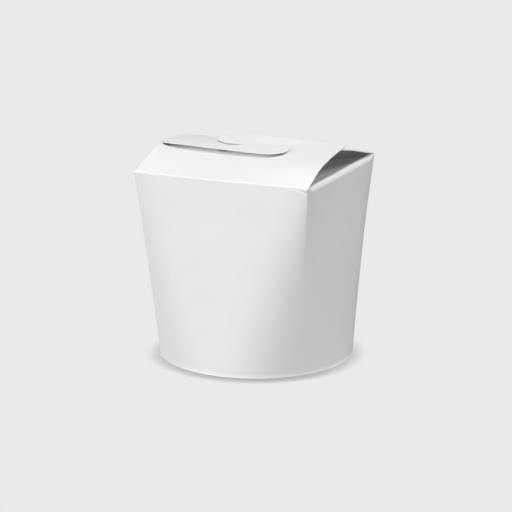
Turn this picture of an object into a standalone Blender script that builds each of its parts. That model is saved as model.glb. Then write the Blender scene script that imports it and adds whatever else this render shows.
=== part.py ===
"""A closed noodle takeaway box of plain white card.

A round base rises to an oblong top. Each wall is a flat triangle that hangs from a top crease and
touches the base circle at one point, and each corner between two walls is part of a slanted cone.
The front and back flaps arch over the top, and their hooked tabs lock: each tab lies on the other
flap. The side flaps roll over under them, and the low hollow under the arched flaps is open at both
sides. The shut box is solid below the side flaps. A thin base panel is let into the foot.

Metres, +Z up. The origin is at the centre of the foot, the front flap is on the -Y side.
"""

import math

import bmesh
import bpy
from mathutils import Vector

# Driving sizes
CREASE_HEIGHT = 0.1000  # foot to the top creases
TOP_WIDTH = 0.0950  # along X, between the side walls' creases
TOP_DEPTH = 0.0896  # along Y, between the front and back creases
TOP_CORNER = 0.0012  # radius of the upright fold where it meets the top
BASE_RADIUS = 0.0502
BASE_STEPS = 72
CARD = 0.0005
CLEAR = 0.0003  # left between two layers of card

WALL_TOP = CREASE_HEIGHT - CARD - CLEAR  # the walls end just under the flaps' creases

FOOT_RIM = 0.0024  # width of the flat ring that the box stands on
FOOT_RECESS = 0.0030  # how far the base panel is let in above the ring

# Side flaps: each rolls over its crease and then falls gently inwards
WALL_LEFT = 0.0012  # card standing at the front and back creases, beside the pocket
ROLL_RADIUS = 0.0036
ROLL_TOP = 0.0003  # how far the roll's full round would stand above the walls
POCKET_DEPTH = 0.0040  # the side flaps' inner ends below the creases
POCKET_HALF_FLAT = 0.0180

# Front and back flaps, in plan. The back flap is the front one turned half round the middle
FLAP_INSET = 0.0004  # each side edge inside the side crease
FLAP_END = 0.0118  # how far the wide part reaches past the middle
TAB_END = 0.0137  # the same at the tab's widest
END_CORNER = 0.0050
SLIT_SLOPE = 0.30  # the slit between the two tabs, across the box's middle
SLIT_HALF = 0.0130
SLIT_GAP = 0.00018  # from the slit's line to each tab's edge
UNDER_LAP = 0.0020  # from the slit's line back to the layer that lies under the other's tab
SHORT_END = 0.0040  # how far short of the middle the narrow part ends
TAB_ROOT_X = 0.0105  # centre of the rounded tab end
TAB_MIDDLE_Y = 0.0046
FRONT_TAB_REACH = 0.0215
BACK_TAB_REACH = 0.0198
GRID_STEP = 0.0040

MID = TOP_DEPTH / 2

# Rise of each flap above the creases, in millimetres, as sections across X. A section gives the
# height at places along Y. Beyond the slit's closed end a flap is one sheet, and before it the
# tab and the narrow part are two layers, each with its own sections.
FRONT_SHEET = (
    (-47.5, ((-44.8, 0.0), (-28.8, 4.3), (-11.5, 7.9), (0.0, 7.8))),
    (-36.0, ((-44.8, 0.0), (-28.8, 3.8), (-12.5, 6.6), (0.0, 7.3))),
    (-10.0, ((-44.8, 0.0), (-28.8, 3.3), (-12.5, 6.0), (0.0, 7.2))),
)
FRONT_TAB = (
    (-22.0, ((-4.0, 10.0), (13.7, 10.4))),
    (0.0, ((-4.0, 9.6), (0.0, 9.9), (13.7, 11.5))),
)
FRONT_WHOLE = (
    (13.0, ((-44.8, 0.0), (-28.0, 3.8), (-12.5, 6.4), (0.0, 7.9), (4.0, 8.6), (13.7, 11.0))),
    (25.0, ((-44.8, 0.0), (-27.0, 5.5), (-12.8, 7.9), (0.0, 9.3), (11.8, 11.1))),
    (47.5, ((-44.8, 0.0), (-27.0, 7.0), (-12.8, 9.4), (3.1, 10.8), (11.8, 11.3))),
)
BACK_WHOLE = (
    (-47.5, ((44.8, 0.0), (32.8, 4.2), (20.5, 6.3), (2.6, 8.3), (-11.8, 8.9))),
    (-25.0, ((44.8, 0.0), (32.8, 3.9), (20.5, 6.3), (2.6, 8.4), (-11.8, 8.6))),
    (-13.0, ((44.8, 0.0), (32.8, 3.7), (20.5, 6.2), (2.6, 8.6), (-13.7, 8.4))),
)
BACK_TAB = (
    (0.0, ((4.0, 9.9), (0.0, 9.5), (-13.7, 8.2))),
    (13.0, ((4.0, 9.6), (-13.7, 8.2))),
    (22.0, ((4.0, 9.5), (-13.7, 8.3))),
)
BACK_SHEET = (
    (0.0, ((44.8, 0.0), (30.0, 4.1), (13.0, 7.6), (0.0, 8.4))),
    (13.0, ((44.8, 0.0), (30.0, 4.0), (16.0, 7.0), (4.0, 7.7), (0.0, 7.8))),
    (25.0, ((44.8, 0.0), (30.0, 3.9), (16.8, 7.0), (4.0, 8.8))),
    (47.5, ((44.8, 0.0), (30.8, 3.6), (16.8, 7.2), (4.0, 9.9))),
)


def clear_scene():
    for thing in list(bpy.data.objects):
        bpy.data.objects.remove(thing, do_unlink=True)


def collection(name):
    made = bpy.data.collections.new(name)
    bpy.context.scene.collection.children.link(made)
    return made


def material(name, colour, roughness):
    made = bpy.data.materials.new(name)
    made.use_nodes = True
    shader = made.node_tree.nodes["Principled BSDF"]
    shader.inputs["Base Color"].default_value = (*colour, 1.0)
    shader.inputs["Roughness"].default_value = roughness
    shader.inputs["Metallic"].default_value = 0.0
    return made


def through(points, at):
    """The height at a place, on a curve through the points that doesn't overshoot them."""
    points = sorted(points)
    xs, ys = [p[0] for p in points], [p[1] for p in points]
    if at <= xs[0]:
        return ys[0]
    if at >= xs[-1]:
        return ys[-1]
    gaps = [b - a for a, b in zip(xs, xs[1:])]
    rises = [(b - a) / g for a, b, g in zip(ys, ys[1:], gaps)]
    slopes = [rises[0]]
    for (g0, g1), (r0, r1) in zip(zip(gaps, gaps[1:]), zip(rises, rises[1:])):
        if r0 * r1 <= 0:
            slopes.append(0.0)
        else:
            w0, w1 = 2 * g1 + g0, g1 + 2 * g0
            slopes.append((w0 + w1) / (w0 / r0 + w1 / r1))
    slopes.append(rises[-1])
    k = max(i for i in range(len(gaps)) if xs[i] <= at)
    t, g = (at - xs[k]) / gaps[k], gaps[k]
    return (
        (1 + 2 * t) * (1 - t) ** 2 * ys[k]
        + t * (1 - t) ** 2 * g * slopes[k]
        + t * t * (3 - 2 * t) * ys[k + 1]
        + t * t * (t - 1) * g * slopes[k + 1]
    )


def rise(sections, x, y):
    """A flap's rise above the creases at x, y, in metres."""
    x, y = x * 1000, y * 1000
    return through([(at, through(section, y)) for at, section in sections], x) / 1000


def front_rise(x, y):
    layer = FRONT_TAB if y > slit(x) else FRONT_SHEET
    return rise(layer + FRONT_WHOLE, x, y)


def back_rise(x, y):
    layer = BACK_TAB if y < slit(x) else BACK_SHEET
    return rise(BACK_WHOLE + layer, x, y)


def slit(x):
    return SLIT_SLOPE * max(-SLIT_HALF, min(SLIT_HALF, x))


def flap_outline(reach):
    """The front flap's outline in plan, anticlockwise from its front left corner."""
    side, front = TOP_WIDTH / 2 - FLAP_INSET, -MID + 0.0002
    points = [(-side, front), (side, front)]
    for k in range(7):
        turn = math.radians(15 * k)
        points.append(
            (
                side - END_CORNER + END_CORNER * math.cos(turn),
                FLAP_END - END_CORNER + END_CORNER * math.sin(turn),
            )
        )
    back, front_reach = TAB_END - TAB_MIDDLE_Y, TAB_MIDDLE_Y - slit(-TAB_ROOT_X)
    for k in range(17):
        turn = math.radians(90 + 180 * k / 16)
        high = back if k < 8 else front_reach - SLIT_GAP
        points.append(
            (
                -TAB_ROOT_X + (reach - TAB_ROOT_X) * math.cos(turn),
                TAB_MIDDLE_Y + high * math.sin(turn),
            )
        )
    points.append((SLIT_HALF, slit(SLIT_HALF) + SLIT_GAP))
    points.append((SLIT_HALF + 0.0007, slit(SLIT_HALF) - UNDER_LAP / 2))
    points.append((SLIT_HALF, slit(SLIT_HALF) - UNDER_LAP))
    points.append((-SLIT_HALF, slit(-SLIT_HALF) - UNDER_LAP))
    points.append((-side, -SHORT_END))
    return points


def die_cutter(name, outline, home):
    """The flap's outline as a tall prism, to stamp the flap out of a sheet."""
    curve = bpy.data.curves.new(name, "CURVE")
    curve.dimensions = "2D"
    curve.fill_mode = "BOTH"
    curve.extrude = 0.01
    spline = curve.splines.new("POLY")
    spline.points.add(len(outline) - 1)
    for point, (x, y) in zip(spline.points, outline):
        point.co = (x, y, 0.0, 1.0)
    spline.use_cyclic_u = True
    drawn = bpy.data.objects.new(name + "_curve", curve)
    home.objects.link(drawn)
    bpy.context.view_layer.update()
    graph = bpy.context.evaluated_depsgraph_get()
    mesh = bpy.data.meshes.new_from_object(drawn.evaluated_get(graph))
    bpy.data.objects.remove(drawn, do_unlink=True)
    work = bmesh.new()
    work.from_mesh(mesh)
    bmesh.ops.remove_doubles(work, verts=work.verts, dist=1e-7)
    bmesh.ops.recalc_face_normals(work, faces=work.faces)
    work.to_mesh(mesh)
    work.free()
    made = bpy.data.objects.new(name, mesh)
    home.objects.link(made)
    made.hide_render = True
    made.display_type = "WIRE"
    return made


def baked(thing):
    """Puts the result of an object's modifiers into its own mesh."""
    bpy.context.view_layer.update()
    graph = bpy.context.evaluated_depsgraph_get()
    mesh = bpy.data.meshes.new_from_object(thing.evaluated_get(graph))
    thing.modifiers.clear()
    thing.data = mesh
    return thing


def tidy(mesh, distance):
    """Merges the corners that a cut left almost on each other."""
    work = bmesh.new()
    work.from_mesh(mesh)
    bmesh.ops.remove_doubles(work, verts=work.verts, dist=distance)
    bmesh.ops.dissolve_degenerate(work, dist=distance / 4, edges=work.edges)
    bmesh.ops.triangulate(work, faces=work.faces)
    work.to_mesh(mesh)
    work.free()


def boolean(thing, other, operation):
    step = thing.modifiers.new(operation.title(), "BOOLEAN")
    step.operation = operation
    step.solver = "EXACT"
    step.object = other
    return step


def flap(name, reach, height, turned, home, cutters):
    """A flap stamped from a flat sheet of card and then bent to its rise."""
    across, along = TOP_WIDTH + 0.004, MID + TAB_END + 0.004
    bpy.ops.mesh.primitive_grid_add(
        x_subdivisions=round(across / GRID_STEP),
        y_subdivisions=round(along / GRID_STEP),
        size=1,
    )
    sheet = bpy.context.object
    sheet.name = name
    for old in sheet.users_collection:
        old.objects.unlink(sheet)
    home.objects.link(sheet)
    sign = -1.0 if turned else 1.0
    middle = sign * (TAB_END - MID) / 2
    for v in sheet.data.vertices:
        v.co = Vector((v.co.x * across, v.co.y * along + middle, 0.0))
    thick = sheet.modifiers.new("Card", "SOLIDIFY")
    thick.thickness = CARD
    thick.offset = -1.0
    outline = [(sign * x, sign * y) for x, y in flap_outline(reach)]
    boolean(sheet, die_cutter(name + "_die", outline, cutters), "INTERSECT")
    baked(sheet)
    tidy(sheet.data, 0.00008)
    for v in sheet.data.vertices:
        x, y = v.co.x, v.co.y
        v.co.z += CREASE_HEIGHT + height(x, y)
    return sheet


def carton(home):
    """The walls: the tightest skin round the oblong top and the round foot."""
    work = bmesh.new()
    for k in range(BASE_STEPS):
        turn = 2 * math.pi * k / BASE_STEPS
        work.verts.new((BASE_RADIUS * math.cos(turn), BASE_RADIUS * math.sin(turn), 0.0))
    for quarter in range(4):
        for k in range(4):
            turn = math.radians(90 * quarter + 30 * k)
            sx = 1 if quarter in (0, 3) else -1
            sy = 1 if quarter in (0, 1) else -1
            work.verts.new(
                (
                    sx * (TOP_WIDTH / 2 - TOP_CORNER) + TOP_CORNER * math.cos(turn),
                    sy * (MID - TOP_CORNER) + TOP_CORNER * math.sin(turn),
                    WALL_TOP,
                )
            )
    bmesh.ops.convex_hull(work, input=work.verts)
    bmesh.ops.dissolve_limit(
        work, angle_limit=1e-4, verts=work.verts, edges=work.edges
    )
    bmesh.ops.recalc_face_normals(work, faces=work.faces)
    mesh = bpy.data.meshes.new("carton_body")
    work.to_mesh(mesh)
    work.free()
    made = bpy.data.objects.new("carton_body", mesh)
    home.objects.link(made)
    return made


def foot_cutter(cutters):
    """The recess under the base panel."""
    bpy.ops.mesh.primitive_cylinder_add(
        vertices=BASE_STEPS,
        radius=BASE_RADIUS - FOOT_RIM,
        depth=2 * FOOT_RECESS,
        location=(0.0, 0.0, 0.0),
    )
    made = bpy.context.object
    made.name = "foot_recess"
    for old in made.users_collection:
        old.objects.unlink(made)
    cutters.objects.link(made)
    made.hide_render = True
    made.display_type = "WIRE"
    return made


def base_panel(home):
    """The round panel that closes the foot, let in above the ring."""
    bpy.ops.mesh.primitive_cylinder_add(
        vertices=BASE_STEPS,
        radius=BASE_RADIUS - FOOT_RIM - CLEAR,
        depth=CARD,
        location=(0.0, 0.0, FOOT_RECESS - CLEAR - CARD / 2),
    )
    made = bpy.context.object
    made.name = "base_panel"
    for old in made.users_collection:
        old.objects.unlink(made)
    home.objects.link(made)
    return made


def pocket_cutter(cutters):
    """What is cut away over the side flaps: beyond the roll, over its crown and down to the middle."""
    wall_lean = math.atan2(BASE_RADIUS - TOP_WIDTH / 2, CREASE_HEIGHT)
    crown_x = TOP_WIDTH / 2 - ROLL_RADIUS
    crown_z = WALL_TOP + ROLL_TOP - ROLL_RADIUS
    half = [(TOP_WIDTH / 2 + 0.004, WALL_TOP - ROLL_RADIUS - 0.0012)]
    for k in range(9):
        turn = -wall_lean + (math.radians(100) + wall_lean) * k / 8
        half.append(
            (
                crown_x + ROLL_RADIUS * math.cos(turn),
                crown_z + ROLL_RADIUS * math.sin(turn),
            )
        )
    half.append((POCKET_HALF_FLAT, WALL_TOP - POCKET_DEPTH))
    top = CREASE_HEIGHT + 0.004
    outline = (
        [(TOP_WIDTH / 2 + 0.004, top)]
        + half
        + [(-x, z) for x, z in reversed(half)]
        + [(-TOP_WIDTH / 2 - 0.004, top)]
    )
    curve = bpy.data.curves.new("pocket", "CURVE")
    curve.dimensions = "2D"
    curve.fill_mode = "BOTH"
    curve.extrude = MID - WALL_LEFT
    spline = curve.splines.new("POLY")
    spline.points.add(len(outline) - 1)
    for point, (x, z) in zip(spline.points, outline):
        point.co = (x, z, 0.0, 1.0)
    spline.use_cyclic_u = True
    drawn = bpy.data.objects.new("pocket_curve", curve)
    drawn.rotation_euler = (math.radians(90), 0.0, 0.0)
    cutters.objects.link(drawn)
    bpy.context.view_layer.update()
    graph = bpy.context.evaluated_depsgraph_get()
    mesh = bpy.data.meshes.new_from_object(drawn.evaluated_get(graph))
    placed = drawn.matrix_world.copy()
    bpy.data.objects.remove(drawn, do_unlink=True)
    work = bmesh.new()
    work.from_mesh(mesh)
    bmesh.ops.remove_doubles(work, verts=work.verts, dist=1e-7)
    bmesh.ops.transform(work, matrix=placed, verts=work.verts)
    bmesh.ops.recalc_face_normals(work, faces=work.faces)
    work.to_mesh(mesh)
    work.free()
    made = bpy.data.objects.new("pocket", mesh)
    cutters.objects.link(made)
    made.hide_render = True
    made.display_type = "WIRE"
    return made


def build():
    clear_scene()
    home = collection("noodle_takeaway_box")
    cutters = collection("cutters")
    white = material("white_card", (0.86, 0.86, 0.86), 0.55)

    box = carton(home)
    boolean(box, foot_cutter(cutters), "DIFFERENCE")
    boolean(box, pocket_cutter(cutters), "DIFFERENCE")
    baked(box)

    front = flap("front_flap", FRONT_TAB_REACH, front_rise, False, home, cutters)
    back = flap("back_flap", BACK_TAB_REACH, back_rise, True, home, cutters)
    panel = base_panel(home)
    for one in (box, front, back, panel):
        one.data.materials.clear()
        one.data.materials.append(white)
        one.data.shade_smooth()
        one.data.set_sharp_from_angle(angle=math.radians(28))


build()
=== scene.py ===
"""The looks of the closed noodle takeaway box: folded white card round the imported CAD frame."""

import math

import bmesh
import bpy
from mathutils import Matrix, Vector
from mathutils.geometry import delaunay_2d_cdt


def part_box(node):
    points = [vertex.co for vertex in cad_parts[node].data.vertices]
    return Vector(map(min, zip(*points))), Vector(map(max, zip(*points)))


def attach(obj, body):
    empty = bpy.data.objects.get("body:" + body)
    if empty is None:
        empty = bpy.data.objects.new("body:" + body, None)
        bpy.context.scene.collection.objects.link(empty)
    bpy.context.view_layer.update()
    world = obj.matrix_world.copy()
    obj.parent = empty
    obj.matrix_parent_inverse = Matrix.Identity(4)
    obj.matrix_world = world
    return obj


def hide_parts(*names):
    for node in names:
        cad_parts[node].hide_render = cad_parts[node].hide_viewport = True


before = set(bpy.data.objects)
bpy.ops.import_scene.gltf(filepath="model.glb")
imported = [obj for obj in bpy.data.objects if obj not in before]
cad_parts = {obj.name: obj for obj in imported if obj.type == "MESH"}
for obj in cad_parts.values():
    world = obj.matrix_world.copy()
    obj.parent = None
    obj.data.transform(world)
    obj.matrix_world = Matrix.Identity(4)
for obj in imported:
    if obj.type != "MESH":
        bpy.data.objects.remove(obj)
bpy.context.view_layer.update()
BODY_LO, BODY_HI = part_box("carton_body")
FLAP_LO, FLAP_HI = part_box("front_flap")

# ---------------------------------------------------------------- sizes
H = 0.1000  # top creases above the foot
WX = 0.0475
WY = 0.0448
R = round((BODY_HI.x - BODY_LO.x) / 2, 5)
CARD = 0.00042
FLOOR_Z = BODY_LO.z

FLAP_END = 0.0118
TAB_END = 0.0137
FRONT_CORNER = 0.0065
BACK_CORNER = 0.0030
SLIT_SLOPE = 0.30
SLIT_HALF = 0.0130
SLIT_GAP = 0.00010
UNDER_LAP = 0.0014
SHORT_END = 0.0040
TAB_ROOT_X = 0.0105
TAB_MIDDLE_Y = 0.0046
FRONT_TAB_REACH = 0.0215
BACK_TAB_REACH = 0.0198

FRONT_SHEET = (
    (-47.5, ((-44.8, 0.0), (-28.8, 4.4), (-12.6, 8.1), (-7.0, 7.8), (0.0, 7.9))),
    (-42.0, ((-44.8, 0.0), (-28.8, 4.1), (-12.6, 7.0), (-7.0, 7.3), (0.0, 7.8))),
    (-36.0, ((-44.8, 0.0), (-28.8, 3.8), (-12.6, 6.5), (-7.0, 7.1), (0.0, 7.8))),
    (-10.0, ((-44.8, 0.0), (-28.8, 3.3), (-12.6, 6.0), (-7.0, 6.8), (0.0, 7.6))),
)
FRONT_TAB = (
    (-24.0, ((-4.0, 9.45), (13.7, 10.3))),
    (0.0, ((-4.0, 9.3), (0.0, 9.75), (13.7, 11.5))),
)
FRONT_WHOLE = (
    (13.0, ((-44.8, 0.0), (-28.0, 3.8), (-12.5, 6.4), (-7.0, 7.0), (0.0, 8.2), (4.0, 8.8), (13.7, 11.0))),
    (25.0, ((-44.8, 0.0), (-27.0, 5.5), (-12.8, 7.9), (0.0, 9.3), (11.8, 11.1))),
    (47.5, ((-44.8, 0.0), (-27.0, 7.0), (-12.8, 9.4), (3.1, 10.8), (11.8, 11.2))),
)
BACK_WHOLE = (
    (-47.5, ((44.8, 0.0), (32.8, 3.7), (20.5, 6.2), (8.0, 8.1), (2.6, 8.6), (-4.0, 8.9), (-12.6, 8.9))),
    (-25.0, ((44.8, 0.0), (32.8, 3.5), (20.5, 6.1), (8.0, 8.1), (2.6, 8.5), (-4.0, 8.8), (-12.6, 8.6))),
    (-13.0, ((44.8, 0.0), (32.8, 3.4), (20.5, 6.0), (8.0, 8.0), (2.6, 8.5), (-4.0, 8.7), (-13.7, 8.4))),
)
BACK_TAB = (
    (0.0, ((4.0, 9.9), (0.0, 9.5), (-13.7, 8.2))),
    (13.0, ((4.0, 9.6), (-13.7, 8.2))),
    (22.0, ((4.0, 9.5), (-13.7, 8.3))),
)
BACK_SHEET = (
    (0.0, ((44.8, 0.0), (30.0, 4.1), (13.0, 7.6), (0.0, 8.4))),
    (13.0, ((44.8, 0.0), (30.0, 4.0), (16.0, 7.0), (4.0, 7.9), (0.0, 8.0))),
    (25.0, ((44.8, 0.0), (30.0, 3.9), (16.8, 7.0), (4.0, 8.8))),
    (47.5, ((44.8, 0.0), (30.8, 3.6), (16.8, 7.2), (4.0, 9.9))),
)
FRONT_LEAN = -0.0014  # the locked lid sits a little to the left of its creases
BACK_LEAN = -0.0018


# ---------------------------------------------------------------- helpers
class Through:
    """A curve through points that doesn't overshoot them."""

    def __init__(self, points):
        points = sorted(points)
        self.xs, self.ys = [p[0] for p in points], [p[1] for p in points]
        xs, ys = self.xs, self.ys
        self.gaps = gaps = [b - a for a, b in zip(xs, xs[1:])]
        rises = [(b - a) / g for a, b, g in zip(ys, ys[1:], gaps)]
        slopes = [rises[0]]
        for g0, g1, r0, r1 in zip(gaps, gaps[1:], rises, rises[1:]):
            if r0 * r1 <= 0:
                slopes.append(0.0)
            else:
                w0, w1 = 2 * g1 + g0, g1 + 2 * g0
                slopes.append((w0 + w1) / (w0 / r0 + w1 / r1))
        slopes.append(rises[-1])
        self.slopes = slopes

    def __call__(self, at):
        xs, ys = self.xs, self.ys
        if at <= xs[0]:
            return ys[0]
        if at >= xs[-1]:
            return ys[-1]
        k = 0
        while k + 2 < len(xs) and xs[k + 1] <= at:
            k += 1
        g = self.gaps[k]
        t = (at - xs[k]) / g
        return (
            (1 + 2 * t) * (1 - t) ** 2 * ys[k]
            + t * (1 - t) ** 2 * g * self.slopes[k]
            + t * t * (3 - 2 * t) * ys[k + 1]
            + t * t * (t - 1) * g * self.slopes[k + 1]
        )


def sheet_of(sections):
    curves = [(at, Through(section)) for at, section in sections]

    def height(x, y):
        x, y = x * 1000, y * 1000
        return Through([(at, curve(y)) for at, curve in curves])(x) / 1000

    return height


F_BODY, F_TAB = sheet_of(FRONT_SHEET + FRONT_WHOLE), sheet_of(FRONT_TAB + FRONT_WHOLE)
B_BODY, B_TAB = sheet_of(BACK_WHOLE + BACK_SHEET), sheet_of(BACK_WHOLE + BACK_TAB)


def slit(x):
    return SLIT_SLOPE * max(-SLIT_HALF, min(SLIT_HALF, x))


def front_rise(x, y):
    return (F_TAB if y > slit(x) else F_BODY)(x, y)


def back_rise(x, y):
    return (B_TAB if y < slit(x) else B_BODY)(x, y)


def smooth(t):
    t = max(0.0, min(1.0, t))
    return t * t * (3 - 2 * t)


def spaced(lo, hi, fine, coarse, reach):
    """Places from lo to hi, fine near both ends and coarse between."""
    places, at = [lo], lo
    while True:
        near = min(at - lo, hi - at)
        step = fine + (coarse - fine) * smooth(near / reach)
        if at + step * 1.5 >= hi:
            break
        at += step
        places.append(at)
    places.append(hi)
    return places


def collection(name):
    made = bpy.data.collections.new(name)
    bpy.context.scene.collection.children.link(made)
    return made


HOME = collection("noodle_box_looks")


def as_object(name, work, mat, smooth_angle=40):
    bmesh.ops.recalc_face_normals(work, faces=work.faces)
    mesh = bpy.data.meshes.new(name)
    work.to_mesh(mesh)
    work.free()
    made = bpy.data.objects.new(name, mesh)
    HOME.objects.link(made)
    mesh.materials.append(mat)
    mesh.shade_smooth()
    mesh.set_sharp_from_angle(angle=math.radians(smooth_angle))
    return made


# ---------------------------------------------------------------- materials
def card_material(name, tone, warm, rough, grain, edge=False):
    """Coated paperboard: an even white with a faint fibre cloud, fine tooth and soft sheen."""
    mat = bpy.data.materials.new(name)
    mat.use_nodes = True
    nt = mat.node_tree
    nodes, links = nt.nodes, nt.links
    shader = nodes["Principled BSDF"]
    shader.inputs["Metallic"].default_value = 0.0
    shader.inputs["IOR"].default_value = 1.45
    shader.inputs["Specular IOR Level"].default_value = 0.30
    coords = nodes.new("ShaderNodeTexCoord")

    def noise(scale, detail, rough_, stretch=(1, 1, 1)):
        mapping = nodes.new("ShaderNodeMapping")
        mapping.inputs["Scale"].default_value = stretch
        links.new(coords.outputs["Object"], mapping.inputs["Vector"])
        tex = nodes.new("ShaderNodeTexNoise")
        tex.inputs["Scale"].default_value = scale
        tex.inputs["Detail"].default_value = detail
        tex.inputs["Roughness"].default_value = rough_
        links.new(mapping.outputs["Vector"], tex.inputs["Vector"])
        return tex

    cloud = noise(55, 3, 0.5)
    fibre = noise(900, 4, 0.65, (1.0, 1.0, 0.35))
    tooth = noise(3200, 2, 0.6)

    ramp = nodes.new("ShaderNodeValToRGB")
    ramp.color_ramp.elements[0].position = 0.30
    ramp.color_ramp.elements[1].position = 0.70
    low, high = tone - 0.012, tone + 0.008
    ramp.color_ramp.elements[0].color = (low, low * (1 - warm * 0.5), low * (1 - warm), 1)
    ramp.color_ramp.elements[1].color = (high, high * (1 - warm * 0.4), high * (1 - warm * 0.8), 1)
    links.new(cloud.outputs["Fac"], ramp.inputs["Fac"])

    fleck = nodes.new("ShaderNodeMapRange")
    fleck.inputs["From Min"].default_value = 0.30
    fleck.inputs["From Max"].default_value = 0.70
    fleck.inputs["To Min"].default_value = 1.0 - grain
    fleck.inputs["To Max"].default_value = 1.0
    links.new(fibre.outputs["Fac"], fleck.inputs["Value"])
    mix = nodes.new("ShaderNodeMix")
    mix.data_type = "RGBA"
    mix.blend_type = "MULTIPLY"
    mix.inputs["Factor"].default_value = 1.0
    links.new(ramp.outputs["Color"], mix.inputs["A"])
    links.new(fleck.outputs["Result"], mix.inputs["B"])
    links.new(mix.outputs["Result"], shader.inputs["Base Color"])

    shine = nodes.new("ShaderNodeMapRange")
    shine.inputs["From Min"].default_value = 0.3
    shine.inputs["From Max"].default_value = 0.7
    shine.inputs["To Min"].default_value = rough - 0.05
    shine.inputs["To Max"].default_value = rough + 0.06
    links.new(fibre.outputs["Fac"], shine.inputs["Value"])
    links.new(shine.outputs["Result"], shader.inputs["Roughness"])

    bump_a = nodes.new("ShaderNodeBump")
    bump_a.inputs["Strength"].default_value = 0.10 if not edge else 0.5
    bump_a.inputs["Distance"].default_value = 0.00004
    links.new(fibre.outputs["Fac"], bump_a.inputs["Height"])
    bump_b = nodes.new("ShaderNodeBump")
    bump_b.inputs["Strength"].default_value = 0.08 if not edge else 0.6
    bump_b.inputs["Distance"].default_value = 0.00002
    links.new(tooth.outputs["Fac"], bump_b.inputs["Height"])
    links.new(bump_a.outputs["Normal"], bump_b.inputs["Normal"])
    links.new(bump_b.outputs["Normal"], shader.inputs["Normal"])
    return mat


WHITE = card_material("coated_card", 0.865, 0.004, 0.52, 0.012)
INSIDE = card_material("uncoated_card_inside", 0.80, 0.02, 0.75, 0.03)
CUT = card_material("cut_card_edge", 0.80, 0.015, 0.8, 0.05, edge=True)


# ---------------------------------------------------------------- flaps
def outline(reach, corner):
    """The front flap's outline in plan from the front crease's right end round to its left end."""
    side = WX
    points = []
    for k in range(13):
        turn = math.radians(90 * k / 12)
        points.append(
            (
                side - corner + corner * math.cos(turn),
                FLAP_END - corner + corner * math.sin(turn),
            )
        )
    back, front_reach = TAB_END - TAB_MIDDLE_Y, TAB_MIDDLE_Y - slit(-TAB_ROOT_X)
    for k in range(41):
        turn = math.radians(90 + 180 * k / 40)
        high = back if k < 20 else front_reach - SLIT_GAP
        points.append(
            (
                -TAB_ROOT_X + (reach - TAB_ROOT_X) * math.cos(turn),
                TAB_MIDDLE_Y + high * math.sin(turn),
            )
        )
    points.append((SLIT_HALF, slit(SLIT_HALF) + SLIT_GAP))
    points.append((SLIT_HALF + 0.0005, slit(SLIT_HALF) - UNDER_LAP / 2))
    points.append((SLIT_HALF, slit(SLIT_HALF) - UNDER_LAP))
    points.append((-SLIT_HALF, slit(-SLIT_HALF) - UNDER_LAP))
    points.append((-side, -SHORT_END))
    return points


def cut_fine(points, step):
    """The same open run of points with no gap longer than step."""
    run = [points[0]]
    for a, b in zip(points, points[1:]):
        parts = max(1, math.ceil(math.dist(a, b) / step))
        for k in range(1, parts + 1):
            t = k / parts
            run.append((a[0] + (b[0] - a[0]) * t, a[1] + (b[1] - a[1]) * t))
    return run


def inside(x, y, loop):
    hit = False
    j = len(loop) - 1
    for i in range(len(loop)):
        (xi, yi), (xj, yj) = loop[i], loop[j]
        if (yi > y) != (yj > y) and x < (xj - xi) * (y - yi) / (yj - yi) + xi:
            hit = not hit
        j = i
    return hit


def near_loop(x, y, loop, least):
    for (ax, ay), (bx, by) in zip(loop, loop[1:] + loop[:1]):
        dx, dy = bx - ax, by - ay
        span = dx * dx + dy * dy
        t = max(0.0, min(1.0, ((x - ax) * dx + (y - ay) * dy) / span)) if span else 0.0
        if (x - ax - dx * t) ** 2 + (y - ay - dy * t) ** 2 < least * least:
            return True
    return False


def other_outline(reach, corner):
    """The locked partner's outline in the same plan."""
    return [(-x, -y) for x, y in outline(reach, corner)]


def grown(points, by):
    """An open anticlockwise run of points moved outwards."""
    run = cut_fine(points, 0.0007)
    moved = []
    for k, (x, y) in enumerate(run):
        (ax, ay), (bx, by_) = run[max(0, k - 1)], run[min(len(run) - 1, k + 1)]
        tx, ty = bx - ax, by_ - ay
        span = math.hypot(tx, ty) or 1.0
        moved.append((x + by * ty / span, y - by * tx / span))
    return moved


def depth_inside(x, y, loop):
    """How far inside a loop a place is; negative outside."""
    best = 1.0
    for (ax, ay), (bx, by) in zip(loop, loop[1:] + loop[:1]):
        dx, dy = bx - ax, by - ay
        span = dx * dx + dy * dy
        t = max(0.0, min(1.0, ((x - ax) * dx + (y - ay) * dy) / span)) if span else 0.0
        best = min(best, math.hypot(x - ax - dx * t, y - ay - dy * t))
    return best if inside(x, y, loop) else -best


KINK_OUT = 0.0010  # the sheet below breaks downwards just before the partner's edge
KINK_SLOPE = 0.75
KINK_DEEP = 0.0014


def kink(within):
    """The drop of the sheet below, by how far inside the partner's outline it is."""
    s = within + KINK_OUT
    if s <= 0:
        return 0.0
    return min(s * KINK_SLOPE, KINK_DEEP) * (1 - smooth((s - 0.0030) / 0.0035))


CREASE_FALL = 0.0005  # how far the crease's rounding reaches down the wall and along the flap
CREASE_STEPS = 6


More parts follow.
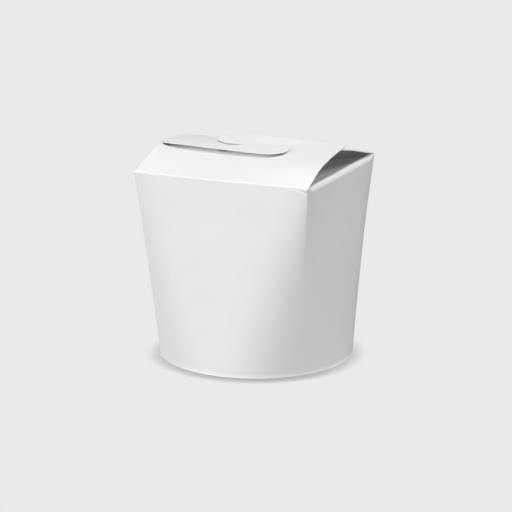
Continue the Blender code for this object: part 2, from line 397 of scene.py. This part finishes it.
def flap_plan(reach, corner, partner, crease_xs, step=0.0011):
    """Triangles of the front flap in plan, starting just past its crease's rounding."""
    start = -WY + CREASE_FALL
    run = cut_fine([(WX, start)] + outline(reach, corner) + [(-WX, start)], 0.0008)
    loop = [(x, start) for x in crease_xs] + run[1:-1]
    points = list(loop)
    extra = []
    for by in (KINK_OUT + 0.0004, KINK_OUT, KINK_OUT - 0.0005, KINK_OUT - 0.0016):
        for x, y in grown(partner, by):
            if y < slit(x) - UNDER_LAP - 0.0004 or abs(x) > SLIT_HALF:
                if inside(x, y, loop) and not near_loop(x, y, loop, 0.0004):
                    if all((x - a) ** 2 + (y - b) ** 2 > 0.00025**2 for a, b in extra):
                        extra.append((x, y))
    points += extra
    cells_x = round(2 * WX / step)
    cells_y = round((TAB_END - start) / step)
    for i in range(1, cells_x):
        for j in range(1, cells_y + 1):
            x = -WX + 2 * WX * i / cells_x
            y = start + (TAB_END - start) * j / cells_y
            if inside(x, y, loop) and not near_loop(x, y, loop, step * 0.45):
                if all((x - a) ** 2 + (y - b) ** 2 > 0.0005**2 for a, b in extra):
                    points.append((x, y))
    edges = [(k, (k + 1) % len(loop)) for k in range(len(loop))]
    verts, _, faces, _, _, _ = delaunay_2d_cdt(
        [Vector(p) for p in points], edges, [list(range(len(loop)))], 1, 1e-7
    )
    return [(v.x, v.y) for v in verts], faces


# ---------------------------------------------------------------- the folded card
FRONT_SPREAD = 48.0  # how far round the foot each side reaches, either way from its middle
SIDE_SPREAD = 39.0
ARC_DEPTH = 0.00050
ARC_WIDE = 0.00036


def arc_dent(x, z):
    """How deep the short curved score is at a place on the front wall, near its right end."""
    ax, az = 0.0388, H - 0.0002
    bx, bz = 0.0474, H - 0.0028
    best = 1.0
    for k in range(25):
        t = k / 24
        px = ax + (bx - ax) * t
        pz = az + (bz - az) * (0.25 * t + 0.75 * t * t)
        best = min(best, math.hypot(x - px, z - pz))
    return ARC_DEPTH * math.exp(-((best / ARC_WIDE) ** 2))


def roll_radius(y):
    near = min(y + WY, WY - y)
    return 0.0009 + 0.0014 * smooth(near / 0.007)


def roll_start(y):
    """How far below the crease level the rolled crease leaves the wall."""
    near = min(y + WY, WY - y)
    notch = 0.0014 * math.exp(-((near / 0.0010) ** 2))
    return max(0.0002, 1.852 * roll_radius(y) - 0.00145) + notch


BULGE = 0.0003


def wall_point(top, low, t):
    return top.lerp(low, t)


def build_card():
    work = bmesh.new()
    corner = 0.0004
    front_xs = spaced(-WX + corner, WX - corner, 0.0003, 0.0020, 0.018)
    side_ys = spaced(-WY + corner, WY - corner, 0.0005, 0.0022, 0.016)
    reach_of = {"front": FRONT_SPREAD, "back": FRONT_SPREAD, "right": SIDE_SPREAD, "left": SIDE_SPREAD}
    columns = []  # (side, place, top point on the crease line, foot point)

    def foot(turn):
        return Vector((R * math.cos(turn), R * math.sin(turn), FLOOR_Z))

    def add_side(name, places, centre, at):
        half = max(abs(places[0]), abs(places[-1]))
        for p in places:
            t = p / half
            spread = math.radians(reach_of[name]) * (0.42 * t + 0.58 * t**7)
            columns.append((name, p, at(p), foot(centre + spread * (1 if name in ("front", "right") else -1))))

    def add_corner(cx, cy, start):
        steps = 14
        k_front = abs(math.sin(start)) > 0.5  # the corner follows the front or the back
        for k in range(1, steps):
            t = k / steps
            turn = start + math.pi / 2 * t
            first = FRONT_SPREAD if k_front else SIDE_SPREAD
            gap = math.radians(90 - FRONT_SPREAD - SIDE_SPREAD)
            low = start + math.radians(first) + gap * t
            columns.append(
                (
                    "corner",
                    t,
                    Vector((cx + corner * math.cos(turn), cy + corner * math.sin(turn), H)),
                    foot(low),
                )
            )

    add_side("front", front_xs, -math.pi / 2, lambda x: Vector((x, -WY, H)))
    add_corner(WX - corner, -WY + corner, -math.pi / 2)
    add_side("right", side_ys, 0.0, lambda y: Vector((WX, y, H)))
    add_corner(WX - corner, WY - corner, 0.0)
    add_side("back", [-x for x in front_xs], math.pi / 2, lambda x: Vector((x, WY, H)))
    add_corner(-WX + corner, WY - corner, math.pi / 2)
    add_side("left", [-y for y in side_ys], math.pi, lambda y: Vector((-WX, y, H)))
    add_corner(-WX + corner, -WY + corner, math.pi)

    drops = [0.0]
    while drops[-1] < 0.0072:
        drops.append(drops[-1] + 0.0004)
    while drops[-1] < 0.022:
        drops.append(drops[-1] + 0.0011)
    rest = 34
    last = drops[-1]
    drops += [last + (1 - last) * 0 for _ in ()]
    rows_rest = [k / rest for k in range(1, rest + 1)]

    grid = []
    for name, p, top, low in columns:
        if name in ("front", "back"):
            first = CREASE_FALL
        elif name == "corner":
            first = 0.0017
        else:
            first = roll_start(p)
        column = []
        length = (top - low).length
        for d in drops:
            # the upper rows close up under the roll's lower edge
            down = first + d * (0.022 - first) / last * (last / last) if d < last else 0.022
            column.append(down)
        for t in rows_rest[:-1]:
            column.append(0.022 + (length - 0.022) * t)
        column += [length - 0.0009, length - 0.0006, length - 0.0003, length]
        points = []
        for down in column:
            q = top.lerp(low, down / length)
            if name in ("right", "left"):
                swell = BULGE * smooth(min(p + WY, WY - p) / 0.008) * math.exp(-((down / 0.009) ** 2))
                q.x += swell if name == "right" else -swell
            if down > length - 0.0009:
                q.x *= 1 + 0.0035 * smooth((down - length + 0.0009) / 0.0006)
                q.y *= 1 + 0.0035 * smooth((down - length + 0.0009) / 0.0006)
            if name == "front" and down < 0.007 and p > 0.036:
                q.y += arc_dent(p, q.z)
            if name == "back" and down < 0.007 and p < -0.036:
                q.y -= arc_dent(-p, q.z)
            points.append(work.verts.new(q))
        grid.append(points)
    n = len(grid)
    for i in range(n):
        a, b = grid[i], grid[(i + 1) % n]
        for j in range(len(a) - 1):
            work.faces.new((a[j], a[j + 1], b[j + 1], b[j]))

    # creases and flaps
    for sign, height, reach, bend, lean in (
        (1, front_rise, FRONT_TAB_REACH, FRONT_CORNER, FRONT_LEAN),
        (-1, back_rise, BACK_TAB_REACH - BACK_LEAN, BACK_CORNER, BACK_LEAN),
    ):
        side = "front" if sign == 1 else "back"
        run = [(p, grid[i][0], columns[i]) for i, (name, p, _, _) in enumerate(columns) if name == side]
        if sign == -1:
            run = [(-p, v, c) for p, v, c in run]
        xs = [p for p, _, _ in run]
        xs[0], xs[-1] = -WX, WX
        partner = other_outline(BACK_TAB_REACH if sign == 1 else FRONT_TAB_REACH, BACK_CORNER if sign == 1 else FRONT_CORNER)
        ring = [(-WX, WY)] + partner + [(WX, WY)]
        plan, faces = flap_plan(reach, bend, partner, xs)
        verts = []
        for x, y in plan:
            gx, gy = sign * x, sign * y
            shift = lean * (y + WY) / (WY + FLAP_END)
            below = 0.0
            if y < slit(x) and abs(x) < WX - 0.0002 and x < 0.022:
                below = kink(depth_inside(x, y, ring)) * (1.0 if sign == 1 else 0.1)
            verts.append(work.verts.new((gx + shift, gy, H + height(gx, gy) - below)))
        start = {}
        for k, (x, y) in enumerate(plan):
            if abs(y - (-WY + CREASE_FALL)) < 1e-6:
                start[round(x, 6)] = verts[k]
        for f in faces:
            work.faces.new([verts[k] for k in f])
        rails = []
        for (p, wall, _), x in zip(run, xs):
            end = start[min(start, key=lambda s: abs(s - x))]
            a, c = wall.co.copy(), end.co.copy()
            mid = Vector((sign * x, -sign * WY, H))
            mid.x = (a.x + c.x) / 2
            rail = [wall]
            for k in range(1, CREASE_STEPS):
                t = k / CREASE_STEPS
                rail.append(work.verts.new(a * (1 - t) ** 2 + mid * 2 * t * (1 - t) + c * t * t))
            rail.append(end)
            rails.append(rail)
        for a, b in zip(rails, rails[1:]):
            for k in range(CREASE_STEPS):
                work.faces.new((a[k], b[k], b[k + 1], a[k + 1]))

    # side flaps: rolled over, dipping and running in under the arch
    for side, sign in (("right", 1), ("left", -1)):
        run = [(p, grid[i][0]) for i, (name, p, _, _) in enumerate(columns) if name == side]
        rails = []
        for p, wall in run:
            y = p
            r = roll_radius(p)
            centre = Vector((sign * (abs(wall.co.x) - r), y, wall.co.z))
            rail = [wall]
            spots = []
            for k in range(1, 15):
                turn = math.radians(165 * k / 14)
                spots.append((centre.x + sign * r * math.cos(turn), centre.z + r * math.sin(turn)))
            fall = 0.0014 * r / 0.0023
            x, z = spots[-1]
            for k in range(1, 4):
                spots.append((x - sign * 0.26 * fall * k / 3, z - 0.966 * fall * k / 3))
            x, z = spots[-1]
            bend = 0.0011 * r / 0.0023
            for k in range(1, 7):
                dip = math.radians(75 - 66 * k / 6)
                spots.append(
                    (
                        x - sign * bend * (math.sin(math.radians(75)) - math.sin(dip)),
                        z - bend * (math.cos(dip) - math.cos(math.radians(75))),
                    )
                )
            x, z = spots[-1]
            reach = abs(x) - 0.019
            for k in range(1, 13):
                t = k / 12
                spots.append((x - sign * reach * t, z - reach * t * 0.158))
            total = len(spots)
            for k, (x, z) in enumerate(spots):
                t = max(0.0, (k - 22) / (total - 23))
                rail.append(work.verts.new((x, y * (1 - 0.16 * t), z)))
            rails.append(rail)
        for a, b in zip(rails, rails[1:]):
            for k in range(len(a) - 1):
                work.faces.new((a[k], b[k], b[k + 1], a[k + 1]))

    bmesh.ops.remove_doubles(work, verts=work.verts, dist=1e-6)
    card = as_object("folded_card", work, WHITE, 55)
    card.data.materials.append(INSIDE)
    card.data.materials.append(CUT)
    thick = card.modifiers.new("Card", "SOLIDIFY")
    thick.thickness = CARD
    thick.offset = -1.0
    thick.material_offset = 1
    thick.material_offset_rim = 2
    whole = bpy.data.meshes.new_from_object(card.evaluated_get(bpy.context.evaluated_depsgraph_get()))
    card.modifiers.clear()
    card.data = whole
    whole.name = "folded_card"
    whole.set_sharp_from_angle(angle=math.radians(50))
    return card


CARD_PIECE = build_card()


def ring_piece(name, profile, mat, steps=160):
    """A turned piece from a closed profile of (radius, z) points."""
    work = bmesh.new()
    rings = []
    for k in range(steps):
        turn = 2 * math.pi * k / steps
        rings.append([work.verts.new((r * math.cos(turn), r * math.sin(turn), z)) for r, z in profile])
    for a, b in zip(rings, rings[1:] + rings[:1]):
        for j in range(len(profile)):
            k = (j + 1) % len(profile)
            work.faces.new((a[j], b[j], b[k], a[k]))
    return as_object(name, work, mat, 35)


def disc_piece(name, radius, z, thick, mat):
    work = bmesh.new()
    steps, rows = 160, 24
    profile = []
    for j in range(rows + 1):
        r = radius * j / rows
        lift = 0.0006 * (1 - (r / radius) ** 2)
        profile.append((r, z + lift))
    top, low = [], []
    for store, dz in ((top, thick), (low, 0.0)):
        middle = work.verts.new((0, 0, profile[0][1] + dz))
        rings = []
        for r, h in profile[1:]:
            rings.append(
                [
                    work.verts.new((r * math.cos(2 * math.pi * k / steps), r * math.sin(2 * math.pi * k / steps), h + dz))
                    for k in range(steps)
                ]
            )
        for k in range(steps):
            work.faces.new((middle, rings[0][k], rings[0][(k + 1) % steps]))
        for a, b in zip(rings, rings[1:]):
            for k in range(steps):
                work.faces.new((a[k], b[k], b[(k + 1) % steps], a[(k + 1) % steps]))
        store.extend(rings[-1])
    for k in range(steps):
        work.faces.new((top[k], low[k], low[(k + 1) % steps], top[(k + 1) % steps]))
    return as_object(name, work, mat, 35)


FOOT_RING = ring_piece(
    "foot_hem",
    [
        (R - 0.00050, 0.0001),
        (R - 0.00150, 0.0001),
        (R - 0.00175, 0.0004),
        (R - 0.00175, 0.0060),
        (R - 0.00140, 0.0062),
        (R - 0.00050, 0.0062),
    ],
    WHITE,
)
BASE = disc_piece("base_disc", R - 0.0018, 0.0026, CARD, WHITE)

for piece in (CARD_PIECE, FOOT_RING, BASE):
    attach(piece, "root")
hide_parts("carton_body", "front_flap", "back_flap")
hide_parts("base_panel")


# ---------------------------------------------------------------- stage, light and camera
FLOOR_TONE = 0.8228
FLOOR_GLOW = 0.25
# reach and lean of the floor's painted contact shadow, an ambient-occlusion mask rather than a cast shadow
PAINTED_SHADOW_REACH = 0.009
PAINTED_SHADOW_TILT = 0.93


def build_stage():
    """A pale sweep that fills the frame evenly, with a painted contact shadow only where the box meets it."""
    bpy.ops.mesh.primitive_plane_add(size=14, location=(0, 0, FLOOR_Z - 0.00002))
    floor = bpy.context.object
    floor.name = "floor"
    mat = bpy.data.materials.new("pale_floor")
    mat.use_nodes = True
    nt = mat.node_tree
    nodes, links = nt.nodes, nt.links
    nodes.remove(nodes["Principled BSDF"])
    out = nodes["Material Output"]
    # camera rays see an even pale glow darkened by a painted contact shadow: ambient occlusion leaned towards
    # the back, so the painted shade falls in front of the box
    floor_with_painted_shadow = nodes.new("ShaderNodeEmission")
    # every other ray sees an even white glow, which lights the box from below in place of light bounced off a
    # real floor
    cast = nodes.new("ShaderNodeEmission")
    cast.inputs["Color"].default_value = (1, 1, 1, 1)
    cast.inputs["Strength"].default_value = FLOOR_GLOW
    near = nodes.new("ShaderNodeAmbientOcclusion")
    near.samples = 24
    near.inputs["Distance"].default_value = PAINTED_SHADOW_REACH
    lean = nodes.new("ShaderNodeCombineXYZ")
    lean.inputs["X"].default_value = -math.sin(AZIMUTH) * PAINTED_SHADOW_TILT
    lean.inputs["Y"].default_value = math.cos(AZIMUTH) * PAINTED_SHADOW_TILT
    lean.inputs["Z"].default_value = math.sqrt(1 - PAINTED_SHADOW_TILT**2)
    links.new(lean.outputs["Vector"], near.inputs["Normal"])
    curve = nodes.new("ShaderNodeMapRange")
    curve.inputs["From Min"].default_value = PAINTED_SHADOW_LOW
    curve.inputs["From Max"].default_value = PAINTED_SHADOW_HIGH
    curve.inputs["To Min"].default_value = 0.40
    curve.inputs["To Max"].default_value = FLOOR_TONE
    links.new(near.outputs["AO"], curve.inputs["Value"])
    links.new(curve.outputs["Result"], floor_with_painted_shadow.inputs["Color"])
    path = nodes.new("ShaderNodeLightPath")
    mix = nodes.new("ShaderNodeMixShader")
    links.new(path.outputs["Is Camera Ray"], mix.inputs["Fac"])
    links.new(cast.outputs["Emission"], mix.inputs[1])
    links.new(floor_with_painted_shadow.outputs["Emission"], mix.inputs[2])
    links.new(mix.outputs["Shader"], out.inputs["Surface"])
    floor.data.materials.append(mat)
    return floor


# the occlusion range mapped onto the painted contact shadow's tones
PAINTED_SHADOW_LOW, PAINTED_SHADOW_HIGH = 0.35, 0.97
AZIMUTH = math.radians(24.10)
build_stage()


def sun(name, energy, azimuth, elevation, angle):
    """A soft sun that shines from azimuth (0 is the front, 90 the right) and elevation."""
    data = bpy.data.lights.new(name, "SUN")
    data.energy = energy
    data.angle = math.radians(angle)
    lamp = bpy.data.objects.new(name, data)
    bpy.context.scene.collection.objects.link(lamp)
    a, e = math.radians(azimuth), math.radians(elevation)
    source = Vector((math.sin(a) * math.cos(e), -math.cos(a) * math.cos(e), math.sin(e)))
    lamp.rotation_mode = "QUATERNION"
    lamp.rotation_quaternion = source.to_track_quat("Z", "Y")
    return lamp


# LIGHTS
AMBIENT = 0.04
sun("low_left", 2.50, -54, 8, 35)
sun("front", 0.74, 0, 35, 16)
sun("key_right", 1.40, 60, 35, 16)
sun("top_right", 0.76, 75, 65, 16)
sun("back_top", 0.68, 150, 65, 14)
sun("low_back", 0.50, 188, 5, 30)
# LIGHTS END
world = bpy.data.worlds.new("studio")
bpy.context.scene.world = world
world.use_nodes = True
world.node_tree.nodes["Background"].inputs["Color"].default_value = (1, 1, 1, 1)
world.node_tree.nodes["Background"].inputs["Strength"].default_value = AMBIENT

ELEVATION, DISTANCE = math.radians(15.00), 1.2
back = Vector(
    (
        math.sin(AZIMUTH) * math.cos(ELEVATION),
        -math.cos(AZIMUTH) * math.cos(ELEVATION),
        math.sin(ELEVATION),
    )
)
target = Vector((-0.0002 * math.cos(AZIMUTH), -0.0002 * math.sin(AZIMUTH), 0.0503 + FLOOR_Z))
camera_data = bpy.data.cameras.new("camera")
camera = bpy.data.objects.new("camera", camera_data)
bpy.context.scene.collection.objects.link(camera)
camera_data.sensor_width = 36.0
camera_data.lens = 193.3 * 12 * 36 / 512
camera_data.clip_start, camera_data.clip_end = 0.05, 30
camera.location = target + back * DISTANCE
camera.rotation_mode = "QUATERNION"
camera.rotation_quaternion = back.to_track_quat("Z", "Y")
bpy.context.scene.camera = camera
bpy.context.scene.view_settings.view_transform = "Standard"
